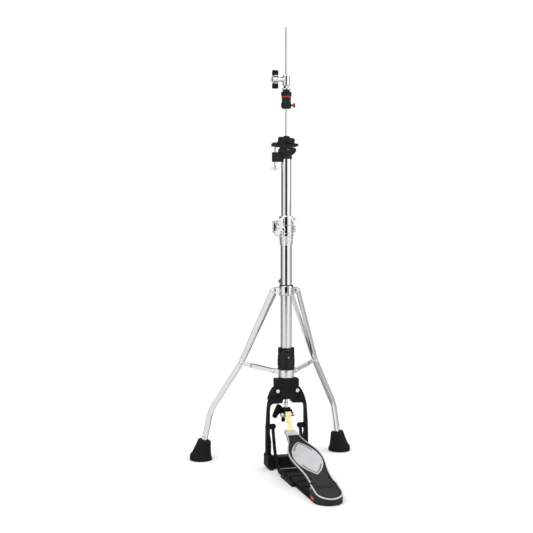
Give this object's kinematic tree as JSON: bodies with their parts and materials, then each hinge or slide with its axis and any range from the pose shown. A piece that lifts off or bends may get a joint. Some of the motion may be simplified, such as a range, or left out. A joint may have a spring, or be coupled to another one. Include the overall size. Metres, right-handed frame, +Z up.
{
  "type": "hi-hat stand",
  "caption": "Folding hi-hat stand: telescoping column with tilting cymbal seat and drop clutch, double-strap legs on sliding collars, forked foot frame with a strap-driven footboard.",
  "frame": {"origin": "on the floor under the column's axis, on the underside of the foot frame's crossbar", "axes": "+Z up along the column; -Y towards the player, along the footboard; +X to the right as the player's side sees it"},
  "size_m": [0.445, 0.5251, 1.12],
  "materials": {
    "chrome": "bright plated steel",
    "dark_chrome": "darker plated casting",
    "bare_steel": "bare satin steel",
    "cast_black": "black powder coat on cast metal, slightly textured",
    "black_plastic": "semi-matt moulded nylon",
    "black_rubber": "matt moulded rubber",
    "red_plastic": "red moulded plastic",
    "black_felt": "pressed felt",
    "silver_metal": "satin silver plate",
    "strap_belt": "cream coated belt"
  },
  "bodies": {
    "stand": {"lower_tube": "chrome", "tube_clamp": "chrome", "tube_bushing": "black_plastic", "yoke_cap": "cast_black", "yoke_casting": "cast_black", "frame_bolt_left": "chrome", "frame_bolt_right": "chrome", "post_left": "cast_black", "post_right": "cast_black", "frame_base": "cast_black", "base_plate": "cast_black", "side_arm_left": "cast_black", "side_arm_right": "cast_black", "heel_plate": "cast_black", "heel_hinge_pin": "bare_steel", "heel_cap_left": "red_plastic", "heel_cap_right": "red_plastic", "return_spring": "bare_steel"},
    "upper_column": {"upper_tube": "chrome", "memory_lock": "chrome", "seat_housing": "black_plastic"},
    "seat": {"seat_cup": "black_plastic", "seat_felt": "black_felt"},
    "tilt_screw": {"tilt_screw": "bare_steel"},
    "height_screw": {"clamp_wing_screw": "chrome"},
    "rod": {"pull_rod_upper": "chrome", "pull_rod_lower": "bare_steel", "rod_end": "chrome", "drive_bracket": "cast_black", "strap_bolt": "chrome"},
    "strap_nut": {"strap_wing_nut": "chrome"},
    "strap": {"strap": "strap_belt"},
    "footboard": {"footboard": "cast_black", "badge_plate": "silver_metal", "toe_plate": "silver_metal"},
    "clutch": {"clutch_clamp": "chrome", "clutch_nut": "chrome", "clutch_upper_body": "black_plastic"},
    "clutch_screw": {"clutch_wing_screw": "chrome", "clutch_wing_tip_top": "black_rubber", "clutch_wing_tip_low": "black_rubber"},
    "clutch_lower": {"clutch_lower_body": "black_plastic", "clutch_ring": "red_plastic"},
    "clutch_release": {"clutch_release_knob": "red_plastic"},
    "tension_sleeve": {"tension_sleeve": "black_plastic"},
    "tension_pin": {"tension_pin": "bare_steel"},
    "leg_swivel": {"lower_leg_collar": "chrome"},
    "leg_collar": {"upper_leg_collar": "chrome", "upper_collar_cap": "black_plastic"},
    "leg_screw": {"leg_wing_screw": "dark_chrome"},
    "leg_left": {"leg_left_strap_front": "chrome", "leg_left_strap_rear": "chrome", "foot_left": "black_rubber"},
    "leg_right": {"leg_right_strap_front": "chrome", "leg_right_strap_rear": "chrome", "foot_right": "black_rubber"},
    "brace_left": {"brace_left": "chrome"},
    "brace_right": {"brace_right": "chrome"}
  },
  "joints": [
    {"name": "pedal_press", "type": "hinge", "parent": "stand", "child": "footboard", "pos_m": [0, -0.3, 0.026], "axis": [-1, 0, 0], "range_deg": [0, 10.5], "stiffness_Nm_per_rad": 20, "springref_deg": -16.04},
    {"name": "rod_pull", "type": "slide", "parent": "stand", "child": "rod", "axis": [0, 0, -1], "range_m": [0, 0.0446], "deforming": ["return_spring"]},
    {"name": "strap_swing", "type": "hinge", "parent": "footboard", "child": "strap", "pos_m": [0, -0.038, 0.1024], "axis": [1, 0, 0], "range_deg": [0, 24.9]},
    {"name": "strap_nut_turn", "type": "hinge", "parent": "rod", "child": "strap_nut", "pos_m": [-0.0117, -0.015, 0.138], "axis": [-1, 0, 0], "continuous": true},
    {"name": "height_slide", "type": "slide", "parent": "stand", "child": "upper_column", "axis": [0, 0, 1], "range_m": [0, 0.05]},
    {"name": "height_screw_turn", "type": "hinge", "parent": "stand", "child": "height_screw", "pos_m": [-0.027, -0.0133, 0.614], "axis": [0, -1, 0], "continuous": true},
    {"name": "tilt_screw_advance", "type": "slide", "parent": "upper_column", "child": "tilt_screw", "axis": [0, 0, 1], "range_m": [-0.0036, 0.0015]},
    {"name": "seat_tilt", "type": "hinge", "parent": "upper_column", "child": "seat", "pos_m": [0, 0, 0.832], "axis": [0, 1, 0], "range_deg": [-7.1, 3]},
    {"name": "clutch_slide", "type": "slide", "parent": "rod", "child": "clutch", "axis": [0, 0, 1], "range_m": [-0.02, 0.1]},
    {"name": "clutch_screw_turn", "type": "hinge", "parent": "clutch", "child": "clutch_screw", "pos_m": [-0.0173, 0, 0.987], "axis": [-1, 0, 0], "continuous": true},
    {"name": "clutch_drop", "type": "slide", "parent": "clutch", "child": "clutch_lower", "axis": [0, 0, -1], "range_m": [0, 0.018]},
    {"name": "clutch_release_press", "type": "slide", "parent": "clutch_lower", "child": "clutch_release", "axis": [-1, 0, 0], "range_m": [0, 0.0024], "stiffness_N_per_m": 600, "springref_m": -0.002},
    {"name": "tension_sleeve_turn", "type": "hinge", "parent": "stand", "child": "tension_sleeve", "pos_m": [0, 0, 0.27], "axis": [0, 0, 1], "range_deg": [-5, 5]},
    {"name": "tension_pin_lift", "type": "slide", "parent": "stand", "child": "tension_pin", "axis": [0, 0, 1], "range_m": [0, 0.02], "stiffness_N_per_m": 300, "springref_m": -0.03},
    {"name": "leg_swivel", "type": "hinge", "parent": "stand", "child": "leg_swivel", "pos_m": [0, 0, 0.241], "axis": [0, 0, 1], "range_deg": [-15, 15]},
    {"name": "leg_fold", "type": "slide", "parent": "leg_swivel", "child": "leg_collar", "axis": [0, 0, 1], "range_m": [0, 0.09025]},
    {"name": "leg_screw_turn", "type": "hinge", "parent": "leg_collar", "child": "leg_screw", "pos_m": [0, 0.0313, 0.4575], "axis": [0, 1, 0], "continuous": true},
    {"name": "leg_left_hinge", "type": "hinge", "parent": "leg_collar", "child": "leg_left", "pos_m": [-0.02615, 0.01845, 0.452], "axis": [-0.5764, -0.8171, 0], "range_deg": [0, 18.05]},
    {"name": "brace_left_hinge", "type": "hinge", "parent": "leg_swivel", "child": "brace_left", "pos_m": [-0.02697, 0.01902, 0.245], "axis": [0.5764, 0.8171, 0], "range_deg": [0, 63.15]},
    {"name": "leg_right_hinge", "type": "hinge", "parent": "leg_collar", "child": "leg_right", "pos_m": [0.02615, 0.01845, 0.452], "axis": [-0.5764, 0.8171, 0], "range_deg": [0, 18.05]},
    {"name": "brace_right_hinge", "type": "hinge", "parent": "leg_swivel", "child": "brace_right", "pos_m": [0.02697, 0.01902, 0.245], "axis": [0.5764, -0.8171, 0], "range_deg": [0, 63.15]}
  ],
  "couplings": [
    {"joint": "rod_pull", "follows": "pedal_press", "m_per_rad": 0.24271},
    {"joint": "strap_swing", "follows": "pedal_press", "ratio": 2.359},
    {"joint": "seat_tilt", "follows": "tilt_screw_advance", "rad_per_m": 33.9},
    {"joint": "leg_left_hinge", "follows": "leg_fold", "rad_per_m": 3.481},
    {"joint": "brace_left_hinge", "follows": "leg_fold", "rad_per_m": 12.193},
    {"joint": "leg_right_hinge", "follows": "leg_fold", "rad_per_m": 3.481},
    {"joint": "brace_right_hinge", "follows": "leg_fold", "rad_per_m": 12.193}
  ]
}
